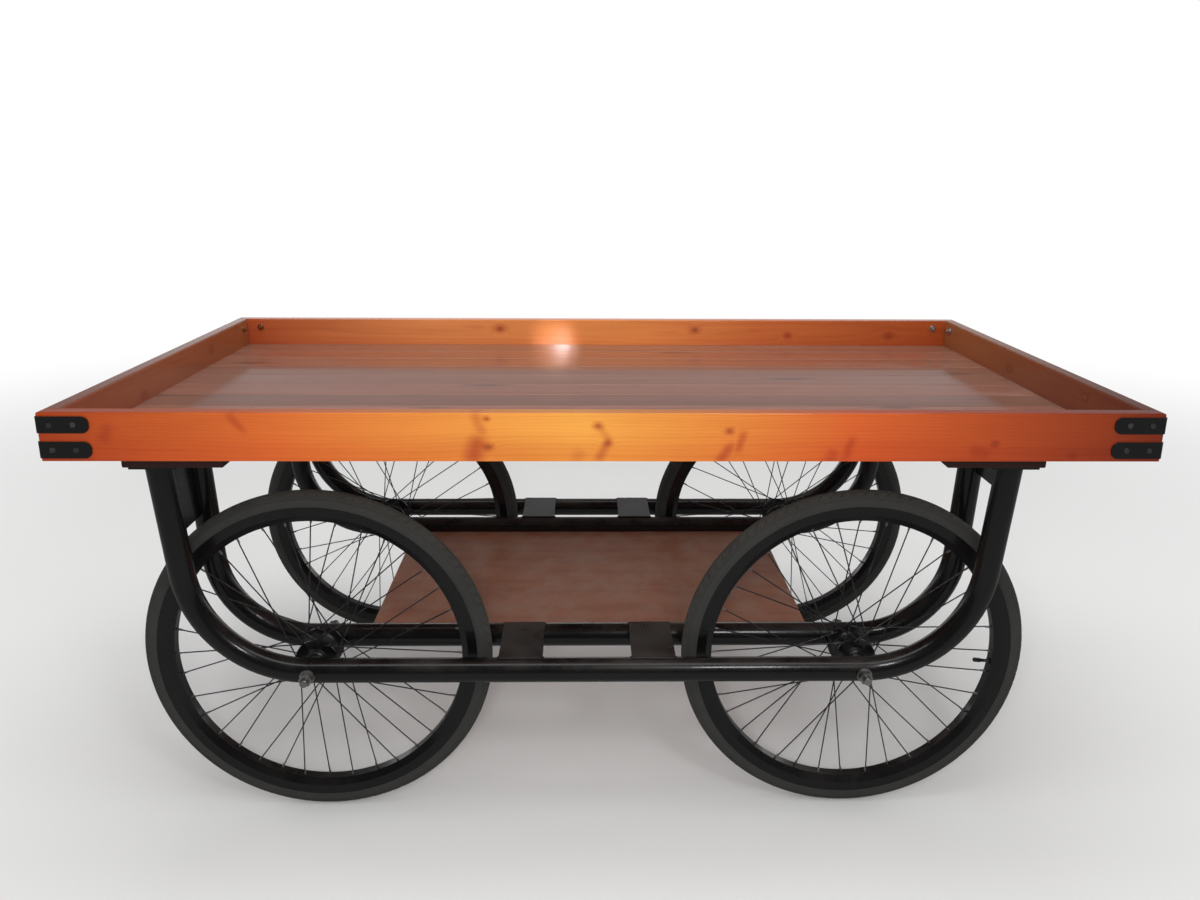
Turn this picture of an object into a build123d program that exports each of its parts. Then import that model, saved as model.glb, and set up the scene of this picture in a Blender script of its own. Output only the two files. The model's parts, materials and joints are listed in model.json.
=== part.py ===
from build123d import *

import os
from collections import namedtuple
from math import cos, radians, sin, tan

# Four-wheeled push cart: a shallow plank tray on two pairs of bent tubes, with a board shelf
# low between them and four bicycle-type wheels. Millimetres. X runs along the cart, Y away
# from the near side, Z up. The origin is on the ground under the middle of the tray.

# Tray
tray_length = 2030.0
tray_width = 1000.0
tray_top = 906.0
board_height = 91.0
board_thickness = 28.0
board_round = 2.5
plank_count = 10
plank_thickness = 20.0
plank_gap = 1.2
plank_round = 1.5

# Cross pieces under the tray
bearer_width = 185.0
bearer_thickness = 20.0
bearer_inset = 22.0
bearer_end_inset = 255.0
bearer_round = 3.0
batten_width = 90.0
batten_inset = 105.0

# Corner straps
strap_thickness = 3.0
strap_height = 31.0
strap_reach = 92.0
strap_end_radius = 13.0
strap_corner_radius = 5.0
strap_hole = 7.0
strap_sink_diameter = 12.0
strap_hole_places = (22.0, 64.0)
lower_strap_base = 6.0
upper_strap_base = 53.0

# Bent tube frames: the wheels of a side run between an outer and an inner one
chassis_shift = -34.0
wheel_side_inset = 130.0
tube_pair_spacing = 140.0
tube_diameter = 48.3
tube_wall = 3.2
outer_leg_inset = 250.0
outer_leg_lean = 5.1
outer_bend_radius = 232.0
inner_leg_inset = 245.0
inner_leg_lean = 3.1
inner_bend_radius = 199.0
leg_trim = 10.0

# Plates that join the tubes of a side
seat_plate_length = 90.0
seat_plate_overhang = 10.0
seat_plate_thickness = 5.0
left_tie_height = 150.0
right_tie_height = 58.0
leg_tie_thickness = 5.0
rail_tie_share = 0.45
rail_tie_place = 0.68
rail_tie_thickness = 5.0
rail_tie_sink = 1.0

# Shelf
shelf_length = 960.0
shelf_shift = 7.0
shelf_thickness = 12.0
shelf_corner_radius = 8.0
shelf_side_gap = 0.5
cross_bar_size = 25.0
cross_bar_wall = 2.0
cross_bar_seat = 4.0

# Wheels
wheel_diameter = 711.0
wheel_end_inset = 463.5
tyre_width = 41.0
tyre_rise = 29.5
rim_depth = 32.0
rim_width = 36.0
rim_wall = 2.0
rim_floor_width = 20.0
rim_shoulder = 13.0
spoke_count = 36
spoke_crossings = 3
spoke_diameter = 2.6
spoke_head_diameter = 4.6
spoke_head_length = 1.4
spoke_rim_offset = 4.0
flange_diameter = 84.0
flange_thickness = 3.5
flange_spread = 27.0
flange_hole_circle = 74.0
flange_hole_clearance = 0.1
hub_barrel_diameter = 50.0
hub_cup_diameter = 38.0
hub_half_length = 36.0
hub_round = 4.0

# Axles
axle_diameter = 16.0
axle_clearance = 0.25
running_clearance = 0.05
axle_stick_out = 27.0
axle_chamfer = 1.2
axle_end_gap = 0.5
collar_diameter = 26.0
washer_diameter = 30.0
washer_thickness = 2.5
nut_across_flats = 24.0
nut_thickness = 12.0

# Heights and places that follow from the sizes above
wheel_radius = wheel_diameter / 2
rim_outer_radius = wheel_radius - tyre_rise
rim_inner_radius = rim_outer_radius - rim_depth
axle_height = wheel_radius
rail_height = axle_height
tray_base = tray_top - board_height
plank_top = tray_base + plank_thickness
bearer_base = tray_base - bearer_thickness
seat_base = bearer_base - seat_plate_thickness
inside_length = tray_length - 2 * board_thickness
inside_width = tray_width - 2 * board_thickness
plank_width = (inside_width - (plank_count - 1) * plank_gap) / plank_count
bearer_spread = tray_length / 2 - bearer_end_inset
wheel_spread = tray_length / 2 - wheel_end_inset
wheel_plane = tray_width / 2 - wheel_side_inset
outer_leg_spread = tray_length / 2 - outer_leg_inset
inner_leg_spread = tray_length / 2 - inner_leg_inset
tube_radius = tube_diameter / 2
outer_tube = wheel_plane + tube_pair_spacing / 2
inner_tube = wheel_plane - tube_pair_spacing / 2
cross_bar_top = rail_height - tube_radius + cross_bar_seat
tube_gap_half = tube_pair_spacing / 2 - tube_radius

# The rail ties share the half of each rail that is free between the tyre and the middle
free_rail = wheel_spread - wheel_radius
rail_tie_length = rail_tie_share * free_rail
rail_tie_spread = rail_tie_place * free_rail

# The two bent tubes of a side: distance from the cart's middle, half distance between the legs
# at rail height, lean of the legs in degrees and radius of the bends
TubeFrame = namedtuple("TubeFrame", "name distance leg_spread leg_lean bend_radius")
tube_frames = (
    TubeFrame("outer", outer_tube, outer_leg_spread, outer_leg_lean, outer_bend_radius),
    TubeFrame("inner", inner_tube, inner_leg_spread, inner_leg_lean, inner_bend_radius),
)

# The sides and ends of the cart: name, direction
sides = (("near", -1), ("far", 1))
ends = (("left", -1), ("right", 1))
corners = [(f"{side}_{end}", sy, sx) for side, sy in sides for end, sx in ends]

# The ties between the legs are deeper at the left end, where they also stop the wheel's spray
tie_heights = {-1: left_tie_height, 1: right_tie_height}


def block(x_range, y_range, z_range):
    """A box between two values on each axis."""
    (x0, x1), (y0, y1), (z0, z1) = x_range, y_range, z_range
    middle = Pos((x0 + x1) / 2, (y0 + y1) / 2, (z0 + z1) / 2)
    return middle * Box(x1 - x0, y1 - y0, z1 - z0)


def rod_along_y(radius, length):
    """A round bar along Y, centred on the origin."""
    return Rot(90, 0, 0) * Cylinder(radius, length)


def side_board(sy):
    """A long board of the tray, through to both ends."""
    outside = sy * tray_width / 2
    inside = sy * inside_width / 2
    board = block(
        (-tray_length / 2, tray_length / 2), sorted((outside, inside)), (tray_base, tray_top)
    )
    return fillet(board.edges().group_by(Axis.Z)[-1], board_round)


def end_board(sx):
    """A short board of the tray, butted between the long ones."""
    outside = sx * tray_length / 2
    inside = sx * inside_length / 2
    board = block(
        sorted((outside, inside)), (-inside_width / 2, inside_width / 2), (tray_base, tray_top)
    )
    return fillet(board.edges().filter_by(Axis.Y).group_by(Axis.Z)[-1], board_round)


def deck_plank(index):
    """One floor plank along the cart, between the end boards, its upper edges eased."""
    y0 = -inside_width / 2 + index * (plank_width + plank_gap)
    plank = block(
        (-inside_length / 2, inside_length / 2), (y0, y0 + plank_width), (tray_base, plank_top)
    )
    return fillet(plank.edges().filter_by(Axis.X).group_by(Axis.Z)[-1], plank_round)


def bolt_hole():
    """A bore along Z that widens as a countersink up to the face at the height 0."""
    sink_depth = (strap_sink_diameter - strap_hole) / 2
    below = (Align.CENTER, Align.CENTER, Align.MAX)
    sink = Cone(strap_hole / 2, strap_sink_diameter / 2, sink_depth, align=below)
    return Cylinder(strap_hole / 2, 3 * strap_thickness) + sink


def corner_strap(base):
    """A flat strap bent round one outer corner of the tray, with rounded ends and four holes.

    It is drawn for the corner at +X +Y, its lower edge at the height base above the tray's base.
    """
    x, y = tray_length / 2, tray_width / 2
    low = tray_base + base
    outline = Polyline(
        (x - strap_reach, y + strap_thickness),
        (x + strap_thickness, y + strap_thickness),
        (x + strap_thickness, y - strap_reach),
        (x, y - strap_reach),
        (x, y),
        (x - strap_reach, y),
        close=True,
    )
    strap = extrude(Pos(0, 0, low) * make_face(outline), amount=strap_height)
    outer_pair = strap.edges().filter_by(Axis.Z).sort_by(Axis.X)[-2:]
    strap = fillet(outer_pair.sort_by(Axis.Y)[-1:], strap_corner_radius)
    long_ends = strap.edges().filter_by(Axis.Y).sort_by(Axis.X)[:2]
    short_ends = strap.edges().filter_by(Axis.X).sort_by(Axis.Y)[:2]
    strap = fillet(long_ends + short_ends, strap_end_radius)
    middle = low + strap_height / 2
    for place in strap_hole_places:
        strap -= Pos(x - place, y + strap_thickness, middle) * Rot(-90, 0, 0) * bolt_hole()
        strap -= Pos(x + strap_thickness, y - place, middle) * Rot(0, 90, 0) * bolt_hole()
    return strap


def corner_straps(sy, sx):
    """The lower and the upper strap of one corner."""
    pair = [corner_strap(base) for base in (lower_strap_base, upper_strap_base)]
    if sx < 0:
        pair = [mirror(strap, about=Plane.YZ) for strap in pair]
    if sy < 0:
        pair = [mirror(strap, about=Plane.XZ) for strap in pair]
    return Compound(children=pair)


def cross_plank(x, width, inset):
    """A plank across the tray's underside, its two lower edges eased."""
    reach = tray_width / 2 - inset
    plank = block((x - width / 2, x + width / 2), (-reach, reach), (bearer_base, tray_base))
    return fillet(plank.edges().filter_by(Axis.Y).group_by(Axis.Z)[0], bearer_round)


def bearer(sx):
    """The wide cross plank on the seat plates of the legs at one end."""
    return cross_plank(chassis_shift + sx * bearer_spread, bearer_width, bearer_inset)


def middle_batten():
    """The narrower cross piece under the middle of the tray."""
    return cross_plank(chassis_shift, batten_width, batten_inset)


def leg_top(frame):
    """Half the distance between the tops of a bent tube's legs."""
    return frame.leg_spread + (seat_base - rail_height) * tan(radians(frame.leg_lean))


def tube_path(frame, y):
    """The centre line of a bent tube: leg, rail and leg, the legs longer by the trim."""
    rise = seat_base + leg_trim - rail_height
    top = frame.leg_spread + rise * tan(radians(frame.leg_lean))
    return FilletPolyline(
        (chassis_shift - top, y, rail_height + rise),
        (chassis_shift - frame.leg_spread, y, rail_height),
        (chassis_shift + frame.leg_spread, y, rail_height),
        (chassis_shift + top, y, rail_height + rise),
        radius=frame.bend_radius,
    )


def tube_along(path, section):
    """A section swept along a tube's centre line."""
    return sweep(Plane(origin=path @ 0, z_dir=path % 0) * section, path=path)


def tube_outside(frame, y):
    """The tube's outer form, solid, as the shape that other pieces are cut to fit."""
    return tube_along(tube_path(frame, y), Circle(tube_radius))


def bent_tube(frame, y):
    """One round tube bent twice, cut level under the seat plates, with two axle holes."""
    ring = Circle(tube_radius) - Circle(tube_radius - tube_wall)
    tube = tube_along(tube_path(frame, y), ring)
    reach = leg_top(frame) + 2 * tube_diameter
    tube -= block(
        (chassis_shift - reach, chassis_shift + reach),
        (y - tube_diameter, y + tube_diameter),
        (seat_base, seat_base + 4 * leg_trim),
    )
    for _, sx in ends:
        hole = rod_along_y(axle_diameter / 2 + axle_clearance, 2 * tube_diameter)
        tube -= Pos(chassis_shift + sx * wheel_spread, y, axle_height) * hole
    return tube


def leg_seat(sy, sx):
    """The plate that closes the tops of a leg pair and carries the bearer, with its tie.

    The tie is an upright plate welded between the two legs, coped to both tubes. It stands at
    the mean place and the mean lean of the two.
    """
    tie_height = tie_heights[sx]
    count = len(tube_frames)
    x = chassis_shift + sx * sum(leg_top(frame) for frame in tube_frames) / count
    lean = sum(frame.leg_lean for frame in tube_frames) / count
    y = sy * wheel_plane
    half_width = tube_pair_spacing / 2 + tube_radius + seat_plate_overhang
    plate = block(
        (x - seat_plate_length / 2, x + seat_plate_length / 2),
        (y - half_width, y + half_width),
        (seat_base, bearer_base),
    )
    tie = Box(leg_tie_thickness, tube_pair_spacing, 2 * tie_height)
    tie = Pos(x, y, seat_base) * Rot(0, sx * lean, 0) * tie
    for frame in tube_frames:
        tie -= tube_outside(frame, sy * frame.distance)
    tie -= block(
        (x - seat_plate_length, x + seat_plate_length),
        (y - half_width, y + half_width),
        (seat_base, seat_base + 2 * tie_height),
    )
    return plate + tie


def rail_ties(sy):
    """The two flat plates welded on top of a rail pair, coped to the tubes."""
    top = rail_height + tube_radius
    plates = []
    for _, sx in ends:
        x = chassis_shift + sx * rail_tie_spread
        plate = block(
            (x - rail_tie_length / 2, x + rail_tie_length / 2),
            sorted((sy * inner_tube, sy * outer_tube)),
            (top - rail_tie_sink, top - rail_tie_sink + rail_tie_thickness),
        )
        for distance in (inner_tube, outer_tube):
            rail = Pos(x, sy * distance, rail_height) * Rot(0, 90, 0)
            plate -= rail * Cylinder(tube_radius, 2 * rail_tie_length)
        plates.append(plate)
    return Compound(children=plates)


def cross_bars():
    """The two square tubes under the shelf, coped to the undersides of the inner rails."""
    bars = []
    for _, sx in ends:
        x = chassis_shift + sx * rail_tie_spread
        middle = Pos(x, 0, cross_bar_top - cross_bar_size / 2)
        hole_size = cross_bar_size - 2 * cross_bar_wall
        bar = middle * Box(cross_bar_size, 2 * inner_tube, cross_bar_size)
        bar -= middle * Box(hole_size, 2 * inner_tube, hole_size)
        for _, sy in sides:
            rail = Pos(x, sy * inner_tube, rail_height) * Rot(0, 90, 0)
            bar -= rail * Cylinder(tube_radius, 4 * cross_bar_size)
        bars.append(bar)
    return Compound(children=bars)


def shelf():
    """The low board between the inner rails, on the cross bars."""
    x = chassis_shift + shelf_shift
    half_width = inner_tube - tube_radius - shelf_side_gap
    board = block(
        (x - shelf_length / 2, x + shelf_length / 2),
        (-half_width, half_width),
        (cross_bar_top, cross_bar_top + shelf_thickness),
    )
    return fillet(board.edges().filter_by(Axis.Z), shelf_corner_radius)


def axle():
    """A fixed axle along Y through both rails, with its collars, washers and nuts."""
    end = tube_pair_spacing / 2 + tube_radius + axle_stick_out
    pin = rod_along_y(axle_diameter / 2, 2 * end)
    pin = chamfer(pin.edges(), axle_chamfer)
    seat = tube_pair_spacing / 2 + tube_radius
    for _, side in sides:
        collar_start = hub_half_length + axle_end_gap
        collar = rod_along_y(collar_diameter / 2, tube_gap_half - collar_start)
        pin += Pos(0, side * (collar_start + tube_gap_half) / 2, 0) * collar
        washer = rod_along_y(washer_diameter / 2, washer_thickness)
        pin += Pos(0, side * (seat + washer_thickness / 2), 0) * washer
        hexagon = RegularPolygon(nut_across_flats / 2, 6, major_radius=False)
        nut = Rot(90, 0, 0) * extrude(hexagon, amount=nut_thickness / 2, both=True)
        pin += Pos(0, side * (seat + washer_thickness + nut_thickness / 2), 0) * nut
    return pin


def spoke_holes():
    """Angle of each spoke's flange hole and rim hole, its flange side and its face.

    Columns: flange hole angle, rim hole angle, side of the hub, +1 outside or -1 inside the flange.
    """
    step = 360.0 / (spoke_count / 2)
    rows = []
    for _, side in sides:
        shift = 0.0 if side < 0 else step / 2
        for index in range(spoke_count // 2):
            face = 1 if index % 2 == 0 else -1
            rim_angle = shift + index * step
            rows.append((rim_angle + face * spoke_crossings * step, rim_angle, side, face))
    return rows


def spoke(flange_angle, rim_angle, side, face):
    """One spoke: a head and elbow in the flange hole and a straight wire up to the rim."""
    wire = spoke_diameter / 2
    lift = flange_thickness / 2 + wire
    if face > 0:
        lift += wire
    hole_radius = flange_hole_circle / 2
    reach = rim_inner_radius + 2 * spoke_diameter
    start = Vector(
        hole_radius * cos(radians(flange_angle)),
        side * (flange_spread + face * lift),
        hole_radius * sin(radians(flange_angle)),
    )
    finish = Vector(
        reach * cos(radians(rim_angle)), side * spoke_rim_offset, reach * sin(radians(rim_angle))
    )
    along = finish - start
    rod = Plane(origin=start, z_dir=along) * Cylinder(
        wire, along.length, align=(Align.CENTER, Align.CENTER, Align.MIN)
    )
    rod = rod & rod_along_y(rim_inner_radius, 4 * flange_spread)
    elbow_length = lift + flange_thickness / 2 + spoke_head_length
    elbow = Plane(origin=start, z_dir=(0, -side * face, 0))
    low = (Align.CENTER, Align.CENTER, Align.MIN)
    head = elbow * Pos(0, 0, elbow_length - spoke_head_length)
    return (
        rod
        + elbow * Cylinder(wire, elbow_length, align=low)
        + head * Cylinder(spoke_head_diameter / 2, spoke_head_length, align=low)
    )


def hub():
    """A turned hub along Y: barrel, two drilled flanges and two bearing cups, bored through."""
    bore = axle_diameter / 2 + running_clearance
    inside = flange_spread - flange_thickness / 2
    outside = flange_spread + flange_thickness / 2
    half = [
        (bore, 0),
        (hub_barrel_diameter / 2 - hub_round, 0),
        (hub_barrel_diameter / 2 - hub_round, inside - 3 * hub_round),
        (hub_barrel_diameter / 2, inside - hub_round),
        (hub_barrel_diameter / 2 + hub_round, inside),
        (flange_diameter / 2, inside),
        (flange_diameter / 2, outside),
        (hub_cup_diameter / 2 + hub_round, outside),
        (hub_cup_diameter / 2, outside + hub_round / 2),
        (hub_cup_diameter / 2, hub_half_length - hub_round / 2),
        (hub_cup_diameter / 2 - hub_round / 2, hub_half_length),
        (bore, hub_half_length),
    ]
    profile = make_face(Polyline(*half, close=True))
    turned = revolve(profile, axis=Axis.Y)
    turned += mirror(turned, about=Plane.XZ)
    drills = []
    for flange_angle, _, side, _ in spoke_holes():
        place = Pos(
            flange_hole_circle / 2 * cos(radians(flange_angle)),
            side * flange_spread,
            flange_hole_circle / 2 * sin(radians(flange_angle)),
        )
        drill = rod_along_y(spoke_diameter / 2 + flange_hole_clearance, 2 * flange_thickness)
        drills.append(place * drill)
    return turned - drills


def rim():
    """A rolled steel rim: two side walls for the tyre's beads and a sloping floor."""
    side_wall = rim_width / 2
    floor = rim_floor_width / 2
    outer = [
        (rim_outer_radius, side_wall),
        (rim_inner_radius + rim_shoulder, side_wall),
        (rim_inner_radius, floor),
        (rim_inner_radius, -floor),
        (rim_inner_radius + rim_shoulder, -side_wall),
        (rim_outer_radius, -side_wall),
        (rim_outer_radius, -side_wall + rim_wall),
        (rim_inner_radius + rim_shoulder + rim_wall / 2, -side_wall + rim_wall),
        (rim_inner_radius + rim_wall, -floor + rim_wall / 2),
        (rim_inner_radius + rim_wall, floor - rim_wall / 2),
        (rim_inner_radius + rim_shoulder + rim_wall / 2, side_wall - rim_wall),
        (rim_outer_radius, side_wall - rim_wall),
    ]
    return revolve(make_face(Polyline(*outer, close=True)), axis=Axis.Y)


def tyre():
    """A round tyre, its beads between the side walls of the rim."""
    crown = tyre_width / 2
    middle = wheel_radius - crown
    bead_half = rim_width / 2 - rim_wall
    bead_base = rim_inner_radius + rim_shoulder + rim_wall
    section = Pos(middle, 0) * Circle(crown)
    section -= Pos(rim_outer_radius / 2, 0) * Rectangle(rim_outer_radius, 2 * tyre_width)
    depth = rim_outer_radius - bead_base
    section += Pos(bead_base + depth / 2, 0) * Rectangle(depth, 2 * bead_half)
    return revolve(section, axis=Axis.Y)


def save(name, shape):
    """Write one node as a STEP file."""
    export_step(shape, f"parts/{name}.step")


def main():
    os.makedirs("parts", exist_ok=True)

    for side, sy in sides:
        save(f"side_board_{side}", side_board(sy))
    for end, sx in ends:
        save(f"end_board_{end}", end_board(sx))
    for index in range(plank_count):
        save(f"deck_plank_{index + 1:02d}", deck_plank(index))
    for end, sx in ends:
        save(f"bearer_{end}", bearer(sx))
    save("batten_middle", middle_batten())

    for side, sy in sides:
        for frame in tube_frames:
            save(f"{frame.name}_tube_{side}", bent_tube(frame, sy * frame.distance))
        save(f"rail_ties_{side}", rail_ties(sy))
    save("cross_bars", cross_bars())
    save("shelf", shelf())

    wheel_pieces = {
        "hub": hub(),
        "spokes": Compound(children=[spoke(*row) for row in spoke_holes()]),
        "rim": rim(),
        "tyre": tyre(),
    }
    fixed_axle = axle()
    for corner, sy, sx in corners:
        save(f"corner_straps_{corner}", corner_straps(sy, sx))
        save(f"leg_seat_{corner}", leg_seat(sy, sx))
        station = Pos(chassis_shift + sx * wheel_spread, sy * wheel_plane, axle_height)
        save(f"axle_{corner}", station * fixed_axle)
        for piece, shape in wheel_pieces.items():
            save(f"{piece}_{corner}", station * shape)


main()
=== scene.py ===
# %% [markdown]
# # A street vendor's push cart
# A shallow pine tray rides on two pairs of bent black pipes, with four large spoked wheels and a
# low shelf. The rigid pieces come from the packed CAD model, already in their places, in metres.
# This lesson gives each of them its finish, and adds what the CAD leaves out: tread, valves,
# spoke nipples, bolts, nails, screws and welds.

# %% Load the cart
import bmesh
import bpy
import json
import random
from math import cos, hypot, pi, radians, sin, tan
from mathutils import Matrix, Vector

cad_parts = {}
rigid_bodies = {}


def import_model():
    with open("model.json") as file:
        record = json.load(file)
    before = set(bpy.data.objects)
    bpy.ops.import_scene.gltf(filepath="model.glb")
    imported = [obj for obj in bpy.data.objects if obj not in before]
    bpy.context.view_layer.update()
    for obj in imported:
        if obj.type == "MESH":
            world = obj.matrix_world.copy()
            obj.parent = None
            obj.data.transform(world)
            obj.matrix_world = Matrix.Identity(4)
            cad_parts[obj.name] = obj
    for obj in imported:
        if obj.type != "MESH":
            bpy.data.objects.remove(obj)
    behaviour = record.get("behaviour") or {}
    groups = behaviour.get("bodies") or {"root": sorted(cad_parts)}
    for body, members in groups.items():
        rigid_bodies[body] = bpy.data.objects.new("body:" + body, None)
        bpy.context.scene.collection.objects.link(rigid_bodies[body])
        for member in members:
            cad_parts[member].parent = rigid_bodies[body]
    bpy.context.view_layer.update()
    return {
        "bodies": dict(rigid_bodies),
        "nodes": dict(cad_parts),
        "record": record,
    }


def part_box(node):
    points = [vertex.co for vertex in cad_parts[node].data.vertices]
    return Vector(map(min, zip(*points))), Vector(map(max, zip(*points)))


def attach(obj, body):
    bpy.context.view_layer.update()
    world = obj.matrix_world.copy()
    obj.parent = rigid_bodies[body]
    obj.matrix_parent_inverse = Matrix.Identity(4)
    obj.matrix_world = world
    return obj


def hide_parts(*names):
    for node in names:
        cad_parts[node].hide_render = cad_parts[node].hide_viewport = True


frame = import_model()
parts = frame["nodes"]

# %% [markdown]
# ## Measures
# Small pieces have to land on the faces of the CAD, so the lengths that place those faces are
# written once, in metres. X runs along the cart, Y across it to the far side, and Z up. The
# chassis stands a little to the left of the tray's middle, as it does in the picture.

# %% Measures

HALF_LENGTH, HALF_WIDTH = 1.015, 0.500
BOARD, STRAP = 0.028, 0.003
INSIDE_HALF_LENGTH, INSIDE_HALF = 0.987, 0.472
TRAY_BASE = 0.815
FLOOR_TOP = TRAY_BASE + 0.020
PLANK_PITCH, PLANK_COUNT = 0.09452, 10

WHEEL_RADIUS = 0.3555
WHEEL_LINE = 0.370
CHASSIS_SHIFT = -0.034
RAIL_HEIGHT = WHEEL_RADIUS
TUBE = 0.02415
OUTER, INNER = 0.440, 0.300
SEAT_BASE = TRAY_BASE - 0.025
SEAT_PLACE = 0.7984
TIE_PLACE, TIE_HALF = 0.13328, 0.0441
SHELF_TOP = RAIL_HEIGHT - TUBE + 0.004 + 0.012
SIGNS = {"near": -1, "far": 1, "left": -1, "right": 1}
print("tray", 2 * HALF_LENGTH, "by", 2 * HALF_WIDTH, "wheels", 2 * WHEEL_RADIUS, "pipes", 2 * TUBE)

# %% [markdown]
# ## Sums on sockets
# A shader is arithmetic: the distance to a knot, the dark side of a growth ring, a mask times a
# colour. Laid out by hand, each sum is a Math node and two links. A small class that wraps a
# node's output and gives it Python's operators lets the sum be written as a sum, and adds the
# nodes by itself. The reflected forms, such as __rsub__, make 1 - mask work too.

# %% A wire with operators


def plug(tree, socket, value):
    """Feeds a socket from a wire, or sets it to a plain value."""
    if isinstance(value, Wire):
        tree.links.new(value.socket, socket)
    else:
        socket.default_value = value


class Wire:
    """One output of a node. Each operator adds a Math node and gives its output."""

    def __init__(self, tree, socket):
        self.tree = tree
        self.socket = socket

    def of(self, name):
        """Another output of the same node."""
        return Wire(self.tree, self.socket.node.outputs[name])

    def maths(self, operation, *values):
        node = self.tree.nodes.new("ShaderNodeMath")
        node.operation = operation
        for socket, value in zip(node.inputs, values):
            plug(self.tree, socket, value)
        return Wire(self.tree, node.outputs[0])

    def __add__(self, other):
        return self.maths("ADD", self, other)

    __radd__ = __add__

    def __sub__(self, other):
        return self.maths("SUBTRACT", self, other)

    def __rsub__(self, other):
        return self.maths("SUBTRACT", other, self)

    def __mul__(self, other):
        return self.maths("MULTIPLY", self, other)

    __rmul__ = __mul__

    def __truediv__(self, other):
        return self.maths("DIVIDE", self, other)

    def __rtruediv__(self, other):
        return self.maths("DIVIDE", other, self)

    def __pow__(self, other):
        return self.maths("POWER", self, other)

    def __rpow__(self, other):
        return self.maths("POWER", other, self)

    def __neg__(self):
        return self.maths("MULTIPLY", self, -1.0)

    def __abs__(self):
        return self.maths("ABSOLUTE", self)

    def root(self):
        return self.maths("SQRT", self)

    def floor(self):
        return self.maths("FLOOR", self)

    def fraction(self):
        return self.maths("FRACT", self)

    def low(self, other):
        return self.maths("MINIMUM", self, other)

    def high(self, other):
        return self.maths("MAXIMUM", self, other)


print("reflected forms", [name for name in vars(Wire) if name.startswith("__r")])

# %% [markdown]
# ## A finish
# Every surface of the cart is one material. The first class below has a single method for any
# node that isn't a sum. Settings go in first, because some of them change which sockets a node
# has. The second class starts a material, with its shader and the place of each point in the
# object's own metres. One table names the few sockets of the shader that the lesson uses.

# %% Trees and finishes

SHADER_SOCKETS = {
    "colour": "Base Color", "rough": "Roughness", "metal": "Metallic", "specular": "Specular IOR Level",
    "coat": "Coat Weight", "coat_rough": "Coat Roughness", "coat_ior": "Coat IOR", "normal": "Normal",
}


class Tree:
    """A node tree being made, for a material or for the room."""

    def __init__(self, tree):
        self.tree = tree

    def node(self, kind, settings=None, inputs=None, output=0):
        """Adds any node: its kind, its settings, its sockets by name or number, and what it gives."""
        made = self.tree.nodes.new("ShaderNode" + kind)
        for name, value in (settings or {}).items():
            if name == "stops":
                while len(made.color_ramp.elements) < len(value):
                    made.color_ramp.elements.new(1.0)
                for element, (position, colour) in zip(made.color_ramp.elements, value):
                    element.position = position
                    element.color = (*colour, 1.0)
            else:
                setattr(made, name, value)
        for name, value in (inputs or {}).items():
            plug(self.tree, made.inputs[name], value)
        return Wire(self.tree, made.outputs[output])

    def at(self, x, y, z):
        """A vector from three wires or numbers."""
        return self.node("CombineXYZ", inputs={"X": x, "Y": y, "Z": z})

    def split(self, vector):
        """The three wires of a vector."""
        apart = self.node("SeparateXYZ", inputs={"Vector": vector})
        return [apart.of(axis) for axis in "XYZ"]

    def facing(self):
        """1 where the surface faces up, 0 on a wall, -1 underneath."""
        return self.split(self.node("NewGeometry").of("Normal"))[2]

    def noise(self, place, scale=1.0, detail=2.0, roughness=0.5):
        """Smooth cloudy noise from 0 to 1."""
        inputs = {"Vector": place, "Scale": scale, "Detail": detail, "Roughness": roughness}
        return self.node("TexNoise", inputs=inputs)

    def step(self, value, start, end):
        """0 before start, 1 after end, and a soft ramp between them."""
        settings = {"interpolation_type": "SMOOTHSTEP"}
        return self.node("MapRange", settings, {"Value": value, "From Min": start, "From Max": end})

    def mix(self, share, first, second, blend="MIX"):
        """Two colours, mixed. The sockets of a colour Mix node are numbers 0, 6 and 7."""
        colours = [value if isinstance(value, Wire) else (*value, 1.0) for value in (first, second)]
        settings = {"data_type": "RGBA", "blend_type": blend}
        return self.node("Mix", settings, {0: share, 6: colours[0], 7: colours[1]}, output=2)

    def ramp(self, value, stops):
        """A colour read from a row of stops, each a position and a colour."""
        return self.node("ValToRGB", {"stops": stops}, {"Fac": value})

    def bump(self, height, distance, strength=1.0):
        """A normal that makes a flat surface look uneven."""
        return self.node("Bump", inputs={"Height": height, "Distance": distance, "Strength": strength})


class Finish(Tree):
    """A material being made: its tree, its shader and the wires that most sums start from."""

    def __init__(self, name, **fixed):
        self.material = bpy.data.materials.new(name)
        self.material.use_nodes = True
        super().__init__(self.material.node_tree)
        self.shader = self.tree.nodes["Principled BSDF"]
        self.set(**fixed)
        self.place = self.node("TexCoord").of("Object")
        self.x, self.y, self.z = self.split(self.place)

    def set(self, **values):
        """Feeds the shader's sockets from wires, or sets them to plain values."""
        for name, value in values.items():
            plug(self.tree, self.shader.inputs[SHADER_SOCKETS[name]], value)
        return self


print("sockets in use", len(SHADER_SOCKETS))

# %% [markdown]
# ## Varnished pine
# A board is a slice through a trunk, so its figure is the trunk's growth rings cut by a plane. That
# is also the way to draw it: the distance from a point to the trunk's heart line, divided by the
# width of a year, gives the ring, and the end of each year is dark. The heart line wanders, so
# the rings meet the face in long flames. A knot is a branch: the rings swell round it and its
# own core is dark. An image of wood would do the same from one side only, but a sum in three
# dimensions also gives the right end grain, and it never repeats.

# %% Pine

PALE_PINE, DARK_PINE = (0.86, 0.43, 0.12), (0.56, 0.20, 0.045)
KNOT_CORE = (0.24, 0.060, 0.014)
# These three multiply the colour of the wood.
RESIN_TINT = (0.66, 0.37, 0.48)
POOLED_TINT = (0.92, 0.76, 0.72)
# The last of the three is painted shade: it darkens the faces that look up.
TOP_SHADE_TINT = (0.66, 0.60, 0.66)
POOLED_BELOW = (0.875, 0.820)
KNOT_STRETCH = 1.35
DECAY = 2.718


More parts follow.
